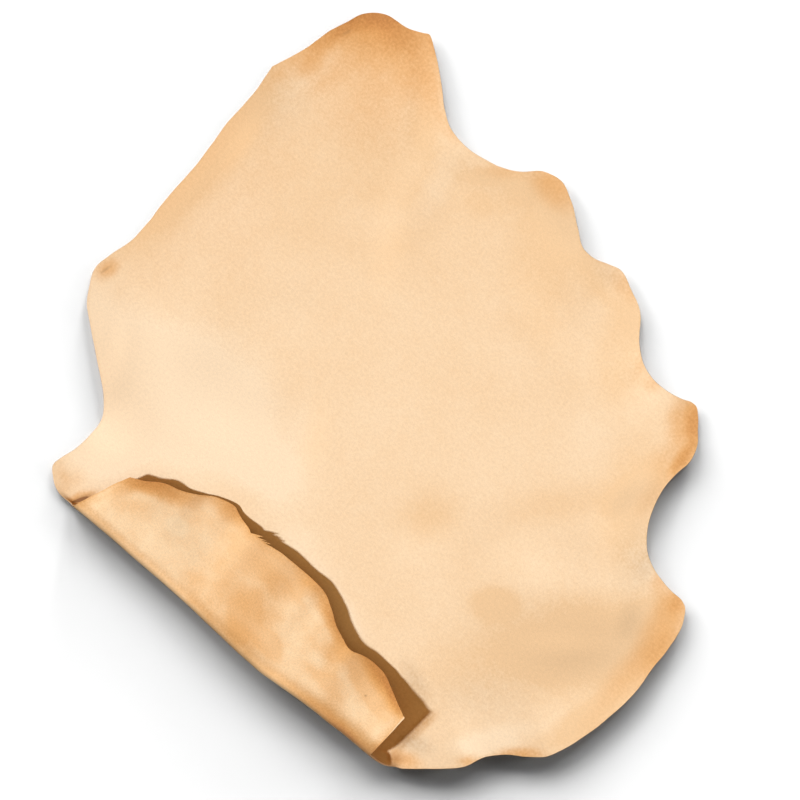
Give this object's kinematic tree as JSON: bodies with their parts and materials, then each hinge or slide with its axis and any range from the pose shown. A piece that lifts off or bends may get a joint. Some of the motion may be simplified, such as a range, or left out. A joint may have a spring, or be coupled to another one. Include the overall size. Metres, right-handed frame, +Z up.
{
  "type": "leather hide",
  "caption": "Whole leather hide laid on the floor, with an irregular neck and shank outline and its lower left side rolled over to show the flesh side.",
  "frame": {"origin": "on the floor, under the middle of the laid hide's box", "axes": "+Z up off the floor; +Y from the tail end to the neck, the longest way; +X to the right seen from above, towards the fore and hind shanks that lie open"},
  "size_m": [0.9692, 1.1344, 0.0408],
  "materials": {
    "leather": "natural vegetable-tanned, undyed, matt with a faint sheen"
  },
  "bodies": {
    "root": {"hide": "leather"}
  },
  "joints": []
}
